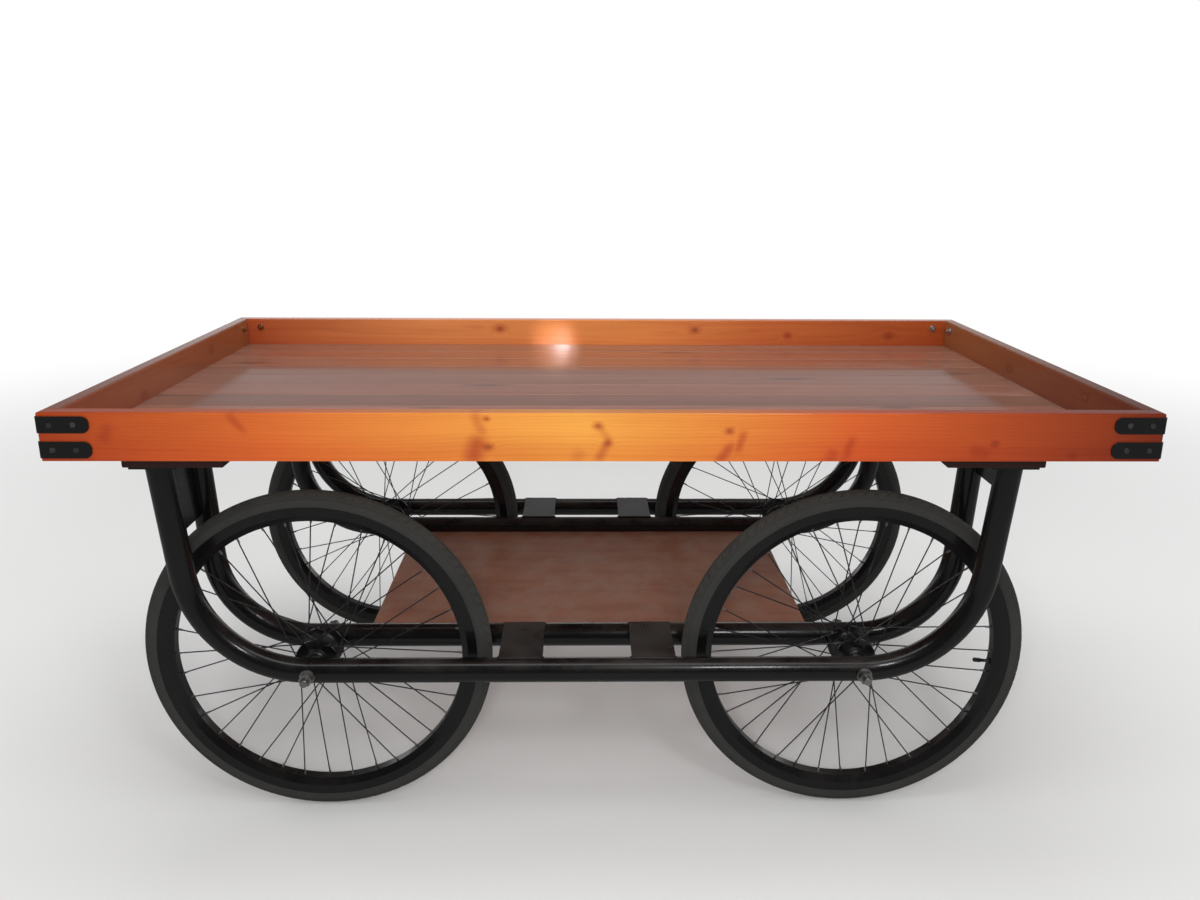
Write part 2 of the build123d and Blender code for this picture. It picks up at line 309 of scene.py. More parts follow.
def knot_wires(wood, u, v, knots):
    """How far the rings swell, and the masks of halo and core, for rows of u, v, radius."""
    swell, halo, core = 0.0, 0.0, 0.0
    # The halo fades out at 2.6 radii from the knot, and the core ends just past its edge.
    for knot_u, knot_v, radius in knots:
        du = (u - knot_u) / (radius * KNOT_STRETCH)
        dv = (v - knot_v) / radius
        along = du * du
        across = dv * dv
        swell = swell + radius * 1.2 * DECAY ** -(along * 0.16 + across * 0.32)
        distance = (along + across).root()
        halo = halo + wood.step(distance, 2.6, 0.6)
        core = core + wood.step(distance, 1.05, 0.45)
    return swell, halo, core


def streak_wire(wood, u, v, waver, streaks):
    """The mask of resin streaks, for rows of start and end in u and v, half width, strength."""
    mask = 0.0
    for u0, v0, u1, v1, width, strength in streaks:
        length = hypot(u1 - u0, v1 - v0)
        cu, cv = (u1 - u0) / length, (v1 - v0) / length
        far = abs((u - (u0 + u1) / 2) * cu + (v - (v0 + v1) / 2) * cv) / (length / 2)
        side = abs((v - v0) * cu - (u - u0) * cv + waver * 0.012) / width
        streak = wood.step(side, 1.8, 0.0) * wood.step(far, 1.5, 0.5) * strength
        mask = streak.high(mask)
    return mask


def pine(name, axes, heart, year, tone_and_shade, knots, streaks, seed, coat):
    """Varnished pine. axes names the board's length, width and thickness, heart is the trunk's
    centre line in width and thickness, and year is the width of a ring."""
    wood = Finish(name, coat_rough=0.06, coat_ior=1.5, specular=0.15)
    u, v, w = (getattr(wood, axis) for axis in axes)
    wander = wood.noise(wood.at(u * 0.9 + seed, seed, 0.0), detail=1.0) - 0.5
    across = v - heart[0] + wander * 0.07
    deep = w - heart[1] + wood.noise(wood.at(u * 0.7, seed + 4.0, 0.0), detail=1.0) * 0.03
    ripple = wood.noise(wood.at(u * 5.0, v * 26.0, w * 26.0 + seed), detail=2.0)
    swell, halo, core = knot_wires(wood, u, v, knots)
    ring = (across * across + deep * deep).root() + ripple * 0.005 + swell
    year_end = (ring / year + wood.noise(wood.at(ring * 90.0, 0.0, seed)) * 0.8).fraction()
    late = year_end ** 3.0 * wood.step(year_end, 1.0, 0.90)
    # The noise is stretched along the board: fine fibres, soft bands, and broad clouds of varnish.
    fibre = wood.noise(wood.at(u * 9.0 + seed, v * 520.0, w * 520.0), detail=3.0, roughness=0.6)
    band = wood.noise(wood.at(u * 1.6, v * 60.0, w * 60.0 + seed), detail=3.0, roughness=0.6)
    cloud = wood.noise(wood.at(u * 2.2, v * 11.0, w * 11.0 + seed), detail=2.0)
    darkness = late * 0.32 + (fibre - 0.5) * 0.30 + (band - 0.45) * 0.8
    colour = wood.mix(darkness, PALE_PINE, DARK_PINE)
    colour = wood.mix(wood.step(cloud, 0.42, 0.80) * 0.36, colour, DARK_PINE)
    # The ramp along the board is the wood's tone together with painted light and shade: lighter in the
    # middle of the long boards, darker at their ends and on the end boards.
    colour = wood.mix(1.0, colour, wood.ramp(u / (2 * HALF_LENGTH) + 0.5, tone_and_shade), "MULTIPLY")
    streak = streak_wire(wood, u, v, cloud + ripple - 1.0, streaks)
    colour = wood.mix(streak, colour, RESIN_TINT, "MULTIPLY")
    colour = wood.mix(halo.low(1.0) * 0.70, colour, RESIN_TINT, "MULTIPLY")
    colour = wood.mix(core.low(1.0) * 0.55, colour, KNOT_CORE)
    # Varnish runs down and pools below. The faces that look up, the top edges, are darkened with painted
    # shade.
    pooled = wood.step(v + (cloud - 0.5) * 0.03, *POOLED_BELOW)
    colour = wood.mix(pooled, colour, POOLED_TINT, "MULTIPLY")
    top_shade = wood.step(wood.facing(), 0.5, 0.9)
    colour = wood.mix(top_shade, colour, TOP_SHADE_TINT, "MULTIPLY")
    return wood.set(
        colour=colour,
        rough=0.42 + fibre * 0.16,
        coat=coat,
        normal=wood.bump(fibre * 0.35 - late * 0.35, 0.0007, 0.35),
    )


# Each stop is a share of the tray's length and a colour that multiplies the wood there. The end boards reach
# from 0.25 to 0.75, because they are half as long. Besides the wood's own tone, the stops hold painted light
# and shade: the long boards are painted lighter in the middle and darker towards their ends, and the end
# boards are painted dark with shade.
TONE_AND_SHADE_TINTS = {
    "near": (
        (0.00, (0.44, 0.108, 0.047)), (0.20, (0.70, 0.30, 0.175)), (0.48, (0.88, 0.76, 0.45)),
        (0.72, (0.65, 0.225, 0.140)), (1.00, (0.22, 0.045, 0.022)),
    ),
    "far": (
        (0.00, (0.50, 0.18, 0.20)), (0.27, (0.87, 0.60, 0.70)), (0.55, (0.96, 0.65, 0.63)),
        (0.72, (0.68, 0.34, 0.32)), (1.00, (0.42, 0.15, 0.115)),
    ),
    "left": ((0.25, (0.25, 0.11, 0.13)), (0.75, (0.32, 0.20, 0.26))),
    "right": ((0.25, (0.13, 0.04, 0.03)), (0.75, (0.34, 0.23, 0.30))),
}
KNOTS = {
    # place along the board, height, radius
    "near": (
        (-0.214, 0.842, 0.0050), (-0.216, 0.895, 0.0035), (-0.016, 0.882, 0.0048),
        (0.002, 0.850, 0.0044), (0.222, 0.872, 0.0045), (0.708, 0.848, 0.0038),
        (0.853, 0.826, 0.0032),
    ),
    "far": (
        (-0.279, 0.880, 0.008), (0.273, 0.878, 0.007), (0.538, 0.862, 0.006), (0.827, 0.862, 0.007),
    ),
    "left": ((0.210, 0.872, 0.007), (-0.160, 0.850, 0.006)),
    "right": ((0.060, 0.860, 0.007), (-0.280, 0.880, 0.006)),
}
STREAKS = {
    # start along and up, end along and up, half width, strength
    "near": (
        (-0.890, 0.884, -0.904, 0.852, 0.0110, 0.45),
        (-0.674, 0.905, -0.650, 0.868, 0.0075, 0.60),
        (-0.236, 0.908, -0.226, 0.862, 0.0100, 0.55),
        (-0.228, 0.862, -0.246, 0.812, 0.0170, 0.95),
        (-0.044, 0.836, -0.056, 0.812, 0.0120, 0.35),
        (-0.012, 0.880, 0.006, 0.852, 0.0070, 0.45),
        (0.003, 0.850, -0.016, 0.815, 0.0085, 0.70),
        (0.247, 0.872, 0.238, 0.832, 0.0075, 0.70),
        (0.228, 0.848, 0.205, 0.812, 0.0090, 0.85),
        (0.448, 0.860, 0.432, 0.820, 0.0080, 0.60),
        (0.414, 0.838, 0.404, 0.812, 0.0110, 0.55),
        (0.664, 0.834, 0.700, 0.828, 0.0120, 0.40),
    ),
}
BOARDS = (
    # node, axes, heart line, ring, seed, coat
    ("side_board_near", "xzy", (0.790, -0.380), 0.0040, 1.0, 0.7),
    ("side_board_far", "xzy", (0.880, 0.560), 0.0055, 7.0, 0.7),
    ("end_board_left", "yzx", (0.850, -1.080), 0.0050, 13.0, 0.7),
    ("end_board_right", "yzx", (0.865, 1.085), 0.0048, 19.0, 0.4),
)
finishes = {}
for node, axes, heart, year, seed, coat in BOARDS:
    side = node.split("_")[-1]
    tone_and_shade, knots, streaks = TONE_AND_SHADE_TINTS[side], KNOTS[side], STREAKS.get(side, ())
    finishes[node] = pine(f"{side}_board_pine", axes, heart, year, tone_and_shade, knots, streaks, seed, coat)
print("boards", list(finishes))

# %% [markdown]
# ## The plank floor
# Ten planks lie side by side. They share one material, and the plank under a point is found from
# its place across the cart: the whole number is the plank, and it seeds the heart line and the
# tone, so neighbours differ as boards from different trees do. The varnish matters most here.
# The floor is seen at a low angle, so its clear coat mirrors the pale room and the wood under it
# reads greyer than it is: the base stays a deep red-brown and the coat does the rest. Dust lies
# in loose patches and along the boards, where a broom doesn't reach.

# %% The planks

PALE_PLANK, DARK_PLANK = (0.25, 0.092, 0.052), (0.105, 0.033, 0.020)
PLANK_HALO, PLANK_KNOT = (0.10, 0.030, 0.015), (0.050, 0.015, 0.009)
DUST = (0.42, 0.34, 0.28)
PLANK_YEAR = 0.0052
HEART_HEIGHT = 0.79
DUST_REACH = 0.16


def plank_pine():
    wood = Finish("plank_pine", coat_rough=0.11, coat_ior=1.5)
    u, v, w = wood.x, wood.y, wood.z
    number = ((v + INSIDE_HALF) / PLANK_PITCH).floor()
    middle = (number + 0.5) * PLANK_PITCH - INSIDE_HALF
    # Two dice for each plank: the number at the end only has to differ between them.
    dice = wood.node("TexWhiteNoise", {"noise_dimensions": "1D"}, {"W": number + 0.37})
    other = wood.node("TexWhiteNoise", {"noise_dimensions": "1D"}, {"W": number + 9.11})
    slide = dice * 40.0
    wander = wood.noise(wood.at(u * 1.2 + slide, number, 0.0), detail=1.0) - 0.5
    across = v - middle + (other - 0.5) * 0.05 + wander * 0.09
    deep = w - HEART_HEIGHT + dice * 0.03
    ripple = wood.noise(wood.at(u * 5.0 + slide, v * 26.0, w * 26.0), detail=2.0)
    cell = wood.at(u * 2.6 + slide, (v - middle) * 14.0, number * 3.0)
    branch = wood.node("TexVoronoi", inputs={"Vector": cell, "Scale": 1.0, "Randomness": 1.0})
    knot = wood.step(branch, 0.135, 0.085)
    halo = wood.step(branch, 0.26, 0.10)
    ring = (across * across + deep * deep).root() + ripple * 0.006 + halo * 0.006
    year_end = (ring / PLANK_YEAR + wood.noise(wood.at(ring * 90.0, number, 0.0)) * 0.8).fraction()
    late = year_end ** 3.0 * wood.step(year_end, 1.0, 0.93)
    fibre = wood.noise(wood.at(u * 9.0 + slide, v * 520.0, w * 520.0), detail=3.0, roughness=0.6)
    band = wood.noise(wood.at(u * 1.3 + slide, v * 70.0, w * 70.0), detail=3.0, roughness=0.6)
    darkness = late * 0.55 + (fibre - 0.5) * 0.40 + (band - 0.45) * 1.1
    colour = wood.mix(darkness, PALE_PLANK, DARK_PLANK)
    shade = 0.72 + dice * 0.50
    colour = wood.mix(1.0, colour, wood.at(shade, shade * (0.92 + other * 0.16), shade), "MULTIPLY")
    colour = wood.mix(halo * 0.5, colour, PLANK_HALO)
    colour = wood.mix(knot * 0.7, colour, PLANK_KNOT)
    scuff = wood.noise(wood.at(u * 3.0, v * 7.0, 0.0), detail=5.0, roughness=0.62)
    dust = wood.step(scuff, 0.52, 0.78)
    to_wall = (INSIDE_HALF - abs(v)).low(INSIDE_HALF_LENGTH - abs(u))
    swept = wood.step(to_wall + (scuff - 0.5) * 0.10, DUST_REACH, 0.0)
    colour = wood.mix(dust * 0.16 + swept * 0.16, colour, DUST)
    # Each plank is a little crowned. The raw underside has no varnish.
    crown = ((v - middle) / (PLANK_PITCH / 2)) ** 2.0
    varnished = wood.step(wood.facing(), -0.2, 0.2)
    return wood.set(
        colour=colour,
        rough=0.40 + dust * 0.25,
        coat=(1.0 - dust * 0.35 - band * 0.25) * varnished,
        normal=wood.bump(fibre * 0.10 - late * 0.12 - crown, 0.0007, 1.0),
    )


finishes["varnished_plank"] = plank_pine()
print("planks", PLANK_COUNT, "with rings every", PLANK_YEAR * 1000, "mm")

# %% [markdown]
# ## Board and bearers
# The shelf is a sheet of red-faced plywood. Its face is peeled from the log in one long ribbon, so
# its figure is broad, wavy and low in contrast, which stretched noise gives at once. The bearers
# under the tray are plain planks, brushed with dark stain that has soaked in unevenly.

# %% Shelf and bearers

PALE_PLY, DARK_PLY = (0.33, 0.125, 0.068), (0.19, 0.060, 0.034)
RUBBED_PLY, DAMP_PLY, PLY_GLUE = (0.34, 0.205, 0.145), (0.16, 0.058, 0.038), (0.10, 0.035, 0.022)
PLIES_A_METRE = 500.0
PALE_STAIN, DARK_STAIN = (0.034, 0.009, 0.006), (0.012, 0.004, 0.003)


def peeled_ply():
    ply = Finish("red_ply", coat=0.30, coat_rough=0.25)
    wave = ply.noise(ply.at(ply.x * 1.3, ply.y * 7.0, 3.0), detail=2.0)
    figure = ((ply.y * 16.0 + wave * 3.2 + ply.x * 0.6).fraction() - 0.5) * 2.0
    fibre = ply.noise(ply.at(ply.x * 14.0, ply.y * 420.0, ply.z * 420.0), detail=3.0)
    patch = ply.noise(ply.place, 3.2, 4.0, 0.6)
    mottle = ply.noise(ply.at(ply.x * 1.2, ply.y, ply.z), 15.0, 4.0, 0.6)
    colour = ply.mix(abs(figure) ** 2.0 * 0.35 + (fibre - 0.5) * 0.5, PALE_PLY, DARK_PLY)
    colour = ply.mix(ply.step(mottle, 0.36, 0.70) * 0.58, colour, RUBBED_PLY)
    colour = ply.mix(ply.step(patch, 0.50, 0.75) * 0.45, colour, DAMP_PLY)
    veneers = ply.step(abs((ply.z * PLIES_A_METRE).fraction() - 0.5), 0.16, 0.10)
    edge = ply.step(abs(ply.facing()), 0.6, 0.3)
    colour = ply.mix(veneers * edge * 0.7, colour, PLY_GLUE)
    return ply.set(colour=colour, rough=0.38 + patch * 0.25, normal=ply.bump(fibre, 0.0005, 0.4))


def stained_plank():
    wood = Finish("stained_plank")
    fibre = wood.noise(wood.at(wood.x * 300.0, wood.y * 7.0, wood.z * 300.0), detail=3.0, roughness=0.6)
    soak = wood.noise(wood.at(wood.x * 14.0, wood.y * 2.5, wood.z * 14.0), detail=3.0)
    colour = wood.mix(fibre * 0.5 + soak * 0.4, PALE_STAIN, DARK_STAIN)
    return wood.set(colour=colour, rough=0.45 + soak * 0.3, normal=wood.bump(fibre, 0.0008, 0.5))


finishes["red_ply"] = peeled_ply()
finishes["dark_wood"] = stained_plank()
print("finishes so far", len(finishes))

# %% [markdown]
# ## Black enamel
# The pipes, plates, straps and rims are brushed with gloss black. Real enamel is never one black:
# it has a slight orange peel from the brush, dulls where hands and dust reach it, and shows grey
# specks of dust on what faces up. Facing comes from the surface's own normal, so the dust stays
# on top when a wheel turns, where new dust would fall.

# %% Enamel

DEEP_BLACK, WORN_BLACK = (0.002, 0.002, 0.002), (0.007, 0.006, 0.006)
GREY_DUST = (0.17, 0.155, 0.14)


def enamel():
    paint = Finish("black_enamel", specular=0.4, coat_rough=0.08)
    smear = paint.noise(paint.place, 7.0, 5.0, 0.62)
    grit = paint.noise(paint.place, 210.0, 2.0)
    dust = paint.step(paint.facing(), 0.25, 0.95) * paint.step(smear, 0.36, 0.70) * 0.5
    speck = paint.step(grit, 0.66, 0.74) * 0.5
    colour = paint.mix(smear, DEEP_BLACK, WORN_BLACK)
    colour = paint.mix((dust * 0.30 + speck * dust).low(0.8), colour, GREY_DUST)
    peel = paint.noise(paint.place, 150.0, 1.0) + paint.noise(paint.place, 38.0, 2.0) * 1.4
    return paint.set(
        colour=colour,
        rough=0.20 + smear * 0.12 + dust * 0.25,
        coat=0.4 - dust * 0.3,
        normal=paint.bump(peel, 0.0006, 0.22),
    )


finishes["black_paint"] = enamel()
print("black base", DEEP_BLACK, "to", WORN_BLACK)

# %% [markdown]
# ## Rubber and bare metal
# Tyre rubber is dull, and road dust turns it olive grey: more on the tread, less on the flanks.
# The spokes and hubs are plated steel gone dark, and the axles and bolts are dull zinc. A metal
# has almost no colour of its own, so what makes it look used is uneven roughness. The nuts inside
# the tray were brushed over with the varnish at three corners, so there is a brown metal for them.

# %% Rubber and metals

CLEAN_RUBBER, GREY_RUBBER, ROAD_DUST = (0.021, 0.021, 0.020), (0.042, 0.041, 0.037), (0.11, 0.10, 0.085)
TREAD_BAND = 0.010


def rubber():
    tyre = Finish("tyre_rubber", specular=0.35)
    radius = (tyre.x * tyre.x + tyre.z * tyre.z).root()
    cloud = tyre.noise(tyre.place, 9.0, 5.0, 0.6)
    grain = tyre.noise(tyre.place, 260.0, 2.0)
    tread = tyre.step(radius, WHEEL_RADIUS - TREAD_BAND, WHEEL_RADIUS)
    colour = tyre.mix(cloud, CLEAN_RUBBER, GREY_RUBBER)
    colour = tyre.mix(tread * cloud * 0.45, colour, ROAD_DUST)
    bump = tyre.bump(grain + cloud * 0.5, 0.0005, 0.5)
    return tyre.set(colour=colour, rough=0.70 + cloud * 0.22, normal=bump)


def metal(name, clean, stained, roughness, spots):
    steel = Finish(name)
    cloud = steel.noise(steel.place, 24.0, 4.0, 0.6)
    fine = steel.noise(steel.place, 420.0, 2.0)
    stain = steel.step(cloud, 0.50, 0.72) * spots
    return steel.set(
        colour=steel.mix(stain, clean, stained),
        metal=1.0 - stain * 0.6,
        rough=roughness + cloud * 0.18 + fine * 0.08,
        normal=steel.bump(fine, 0.0003, 0.35),
    )


METALS = (
    # slot or kind, material, clean colour, stained colour, roughness, strength of the stains
    ("plain_steel", "dull_zinc", (0.46, 0.46, 0.45), (0.16, 0.12, 0.09), 0.30, 0.8),
    ("axle", "worn_steel", (0.42, 0.42, 0.41), (0.10, 0.08, 0.07), 0.26, 0.8),
    ("worn_bolt", "worn_bolt", (0.20, 0.18, 0.17), (0.03, 0.02, 0.02), 0.34, 0.9),
    ("varnished_nut", "varnished_nut", (0.42, 0.17, 0.08), (0.24, 0.08, 0.04), 0.34, 0.9),
    ("dark_steel", "dark_plating", (0.12, 0.12, 0.125), (0.045, 0.038, 0.033), 0.26, 0.9),
)
finishes["tyre"] = rubber()
for key, name, clean, stained, roughness, spots in METALS:
    finishes[key] = metal(name, clean, stained, roughness, spots)
print("finishes", sorted(finishes))

# %% [markdown]
# ## Dressing the CAD nodes
# The packed record says which material slot each node takes. A finish made for one node by name,
# such as a board's own knots, or for one kind of node, comes before the finish of its slot.

# %% Hand out the finishes


def dress(obj, finish):
    """Gives an object one finish, in place of any that it has."""
    obj.data.materials.clear()
    obj.data.materials.append(finish.material)


for subpart in frame["record"]["subparts"]:
    node = subpart["node"]
    kind = node.split("_")[0]
    dress(parts[node], finishes.get(node) or finishes.get(kind) or finishes[subpart["material_slot"]])
print("dressed", len(parts))

# %% [markdown]
# ## Turned shapes
# Bolt heads, washers, nuts, nipples and valves are all turned: an outline swept round an axis. One
# function adds such a form to a mesh at any place and slant, so a row of bolts costs one outline
# and a loop. Six steps instead of twenty make a hexagon, so the same function makes nuts.

# %% A lathe


def aim(point, direction):
    """A matrix that puts an outline's axis at a point, looking along a direction."""
    turn = Vector(direction).normalized().to_track_quat("Z", "Y").to_matrix().to_4x4()
    return Matrix.Translation(point) @ turn


def circle(radius, height, steps):
    """Points round the Z axis."""
    angles = [2 * pi * k / steps for k in range(steps)]
    return [Vector((radius * cos(a), radius * sin(a), height)) for a in angles]


def lathe(mesh, outline, matrix, steps=20, flat=False):
    """Adds rows of radius, height turned about the local Z axis. A radius of 0 closes an end."""
    rings = []
    for radius, height in outline:
        points = circle(radius, height, steps) if radius else [Vector((0, 0, height))]
        rings.append([mesh.verts.new(matrix @ point) for point in points])
    for lower, upper in zip(rings, rings[1:]):
        for k in range(steps):
            pairs = ((lower, k), (lower, (k + 1) % steps), (upper, (k + 1) % steps), (upper, k))
            corners = list(dict.fromkeys(ring[place % len(ring)] for ring, place in pairs))
            if len(corners) > 2:
                mesh.faces.new(corners).smooth = not flat


def keep(name, mesh, body, slot, finish=None, origin=(0, 0, 0)):
    """Turns a bmesh into a piece of the cart that rides on a body."""
    data = bpy.data.meshes.new(name)
    bmesh.ops.recalc_face_normals(mesh, faces=mesh.faces)
    if any(origin):
        bmesh.ops.translate(mesh, verts=mesh.verts, vec=-Vector(origin))
    mesh.to_mesh(data)
    mesh.free()
    obj = bpy.data.objects.new(name, data)
    obj.location = origin
    bpy.context.scene.collection.objects.link(obj)
    dress(obj, finish or finishes[slot])
    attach(obj, body)
    return obj


print("a lathe, with hexagons from 6 steps")

# %% [markdown]
# ## Tyres
# The CAD tyre is a smooth ring. The real one has a tread: a plain rib round the middle, and slanted
# blocks on both shoulders that clear mud to the side. A bump map would keep the outline round, so
# the grooves are in the mesh, and nothing moves outwards, so the tyre keeps its size. The columns
# of points stand only where a groove has an edge, close together at its two walls, and they lean
# with the groove. That gives crisp blocks from few faces; an even grid would need five times more.

# %% Tyres

TYRE_CROWN = 0.0205
RIM_EDGE, BEAD_HALF, BEAD_BASE = 0.326, 0.0155, 0.3105
PITCHES = 96
COLUMNS = (0.00, 0.03, 0.21, 0.24, 0.50, 0.53, 0.71, 0.74)
# Which columns are at the bottom of a groove, on each side of the middle.
GROOVES = {1: (1, 2), -1: (5, 6)}
TREAD_DEPTH = 0.0016
# All that follows is in degrees round the section, from the crown of the tyre.
RIB_GROOVE, SHOULDER = (7, 12), (16, 47)
FLANK_LINES = ((58, 64), (95, 100))
FLANK = 66
LEAN_END, LEAN_A_PITCH = 60, 90
SECTION_ANGLES = (
    0, 3, 5, 7, 8, 11, 12, 16, 17, 22, 28, 34, 40, 46, 47, 51, 56, 60, 62, FLANK, 74, 82, 90, 96, 98,
    104, 111, 116,
)


def within(value, band):
    """Whether a value lies between the two ends of a band."""
    return band[0] < value < band[1]


def tread_cut(column, angle):
    """How deep the tyre is cut at a column and an angle round its section."""
    reach = abs(angle)
    if within(reach, RIB_GROOVE):
        return TREAD_DEPTH
    if within(reach, SHOULDER) and column in GROOVES[1 if angle > 0 else -1]:
        return TREAD_DEPTH
    if any(within(reach, line) for line in FLANK_LINES):
        return TREAD_DEPTH / 3
    return 0.0


def tyre_mesh():
    mesh = bmesh.new()
    angles = [-a for a in reversed(SECTION_ANGLES[1:])] + list(SECTION_ANGLES)
    full_lean = LEAN_END / LEAN_A_PITCH
    hidden = ((RIM_EDGE, BEAD_HALF), (BEAD_BASE, BEAD_HALF), (BEAD_BASE, -BEAD_HALF), (RIM_EDGE, -BEAD_HALF))
    rings = []
    for pitch in range(PITCHES):
        for column, place in enumerate(COLUMNS):
            section = []
            for angle in angles:
                crown = TYRE_CROWN - tread_cut(column, angle)
                radius = WHEEL_RADIUS - TYRE_CROWN + crown * cos(radians(angle))
                lean = min(abs(angle), LEAN_END) / LEAN_A_PITCH
                section.append((max(radius, RIM_EDGE), crown * sin(radians(angle)), lean))
            section += [(radius, y, full_lean) for radius, y in hidden]
            ring = []
            for radius, y, lean in section:
                turn = 2 * pi * (pitch + place + lean) / PITCHES
                ring.append(mesh.verts.new((radius * cos(turn), y, radius * sin(turn))))
            rings.append(ring)
    last = len(angles) - 1
    smooth = [k >= last or min(abs(angles[k]), abs(angles[k + 1])) >= FLANK for k in range(len(section))]
    for ring, after in zip(rings, rings[1:] + rings[:1]):
        for k in range(len(ring)):
            nxt = (k + 1) % len(ring)
            mesh.faces.new((ring[k], ring[nxt], after[nxt], after[k])).smooth = smooth[k]
    return mesh


WHEELS = [name for name in frame["bodies"] if name.startswith("wheel_")]
wheel_centres = {}
for wheel in WHEELS:
    corner = wheel.removeprefix("wheel_")
    low, high = (Vector(point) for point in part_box(f"rim_{corner}"))
    wheel_centres[corner] = (low + high) / 2
    mesh = tyre_mesh()
    mesh.transform(Matrix.Translation(wheel_centres[corner]))
    tyre = keep(f"treaded_tyre_{corner}", mesh, wheel, "tyre", origin=wheel_centres[corner])
    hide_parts(f"tyre_{corner}")
    print(tyre.name, len(tyre.data.polygons), "faces")

# %% [markdown]
# ## Nipples and valves
# Each spoke screws into a nipple that sits in the rim. It points along its spoke, so the loop
# below repeats the wheel builder's rule: eighteen spokes a side, every other one leaning
# forwards, each crossing three others. The valve comes out through the rim next to the joint.

# %% Nipples and valves

SPOKES_A_SIDE, CROSSINGS = 18, 3
FLANGE_RADIUS, FLANGE_PLACE = 0.037, 0.027
RIM_FLOOR, RIM_SHIFT = 0.294, 0.004
NIPPLE = (
    (0, 0.0012), (0.0019, 0.0012), (0.0022, 0.0), (0.0022, -0.0085), (0.0017, -0.0105), (0, -0.0105),
)
VALVE = (
    (0, 0.0), (0.0052, 0.0), (0.0058, 0.0015), (0.0058, 0.0035), (0.0034, 0.0045), (0.0034, 0.0190),
    (0.0046, 0.0192), (0.0046, 0.0310), (0.0038, 0.0330), (0, 0.0335),
)
VALVE_ANGLES = {"near_left": 155.0, "near_right": -5.0, "far_left": 75.0, "far_right": 205.0}


def polar(radius, degrees, y):
    """A point of a wheel, from its distance and angle round the axle."""
    return Vector((radius * cos(radians(degrees)), y, radius * sin(radians(degrees))))


for wheel in WHEELS:
    corner = wheel.removeprefix("wheel_")
    nipples = bmesh.new()
    step = 360.0 / SPOKES_A_SIDE
    for side in (-1, 1):
        for index in range(SPOKES_A_SIDE):
            face = 1 if index % 2 == 0 else -1
            at_rim = index * step + (0.0 if side < 0 else step / 2)
            outer = polar(RIM_FLOOR, at_rim, side * RIM_SHIFT)
            inner = polar(FLANGE_RADIUS, at_rim + face * CROSSINGS * step, side * FLANGE_PLACE)
            lathe(nipples, NIPPLE, aim(wheel_centres[corner] + outer, outer - inner), steps=10)
    keep(f"nipples_{corner}", nipples, wheel, "plain_steel")
    valve = bmesh.new()
    foot = polar(RIM_FLOOR, VALVE_ANGLES[corner], 0.0)
    lathe(valve, VALVE, aim(wheel_centres[corner] + foot, -foot), steps=14)
    keep(f"valve_{corner}", valve, wheel, "dark_steel")
print("nipples", len(WHEELS) * 2 * SPOKES_A_SIDE)

# %% [markdown]
# ## Bolts through the straps
# The corner straps are held by countersunk bolts: the head sinks into the cone of its hole, so
# nothing stands out where people walk past, and inside the tray it has a washer and nut. Only the
# upper strap's bolts come through above the floor. The lower ones are screws into the edges of
# the planks. One mesh per corner keeps the count of pieces small.

# %% Strap bolts

STRAP_HOLES = (0.022, 0.064)
STRAP_MIDDLES = (0.0215, 0.0685)
HEAD = (
    (0, -0.0029), (0.0033, -0.0029), (0.0033, -0.0026), (0.0054, -0.0006), (0.0050, -0.0003),
    (0.0034, -0.0001), (0.0014, -0.0001), (0.0010, -0.0003), (0, -0.0003),
)
WASHER = ((0, 0.0), (0.0085, 0.0), (0.0085, 0.0014), (0, 0.0014))
NUT = ((0, 0.0012), (0.0075, 0.0012), (0.0075, 0.0062), (0.0064, 0.0068), (0, 0.0068))
BOLT_END = ((0, 0.0060), (0.0030, 0.0060), (0.0030, 0.0100), (0.0024, 0.0108), (0, 0.0108))
BARE_CORNER = "far_right"

for corner in wheel_centres:
    sy, sx = (SIGNS[word] for word in corner.split("_"))
    heads, nuts = bmesh.new(), bmesh.new()
    for level, middle in enumerate(STRAP_MIDDLES):
        for hole in STRAP_HOLES:
            z = TRAY_BASE + middle
            spots = (
                (Vector((sx * (HALF_LENGTH - hole), sy * HALF_WIDTH, z)), Vector((0, sy, 0))),
                (Vector((sx * HALF_LENGTH, sy * (HALF_WIDTH - hole), z)), Vector((sx, 0, 0))),
            )
            for spot, outwards in spots:
                lathe(heads, HEAD, aim(spot + outwards * STRAP, outwards))
                behind_board = hole < BOARD
                if level == 0 or behind_board:
                    continue
                inside = aim(spot - outwards * BOARD, -outwards)
                lathe(nuts, WASHER, inside)
                lathe(nuts, NUT, inside, steps=6, flat=True)
                lathe(nuts, BOLT_END, inside, steps=12)
    keep(f"strap_bolts_{corner}", heads, "chassis", "dark_steel", finishes["worn_bolt"])
    nut_finish = finishes["plain_steel" if corner == BARE_CORNER else "varnished_nut"]
    keep(f"strap_nuts_{corner}", nuts, "chassis", "plain_steel", nut_finish)
print("strap bolts", len(wheel_centres) * len(STRAP_MIDDLES) * len(STRAP_HOLES) * 2)

# %% [markdown]
# ## Nails and coach screws
# Two nails hold each plank to each cross piece below it. Nail heads are driven just level, never
# in a perfect row, so each is moved a few millimetres by a seeded random number. Coach screws go
# up through the seat plates into the bearers, so only their six-sided heads and washers show.

# %% Nails and coach screws

random.seed(4)
CROSS_PIECES = (
    # place along the chassis, how far the nails stand from its middle
    (-0.760, 0.055), (0.0, 0.022), (0.760, 0.055),
)
NAIL_SHARES = (0.24, 0.76)
NAIL = ((0.0026, -0.0004), (0.0026, 0.0001), (0.0018, 0.0003), (0, 0.0003))
nails = bmesh.new()
for offset, spread in CROSS_PIECES:
    for plank in range(PLANK_COUNT):
        for share in NAIL_SHARES:
            x = CHASSIS_SHIFT + offset + random.choice((-1, 1)) * spread + random.uniform(-0.006, 0.006)
            y = (plank + share) * PLANK_PITCH - INSIDE_HALF + random.uniform(-0.005, 0.005)
            lathe(nails, NAIL, aim((x, y, FLOOR_TOP), (0, 0, 1)), steps=10)
keep("plank_nails", nails, "chassis", "dark_steel")

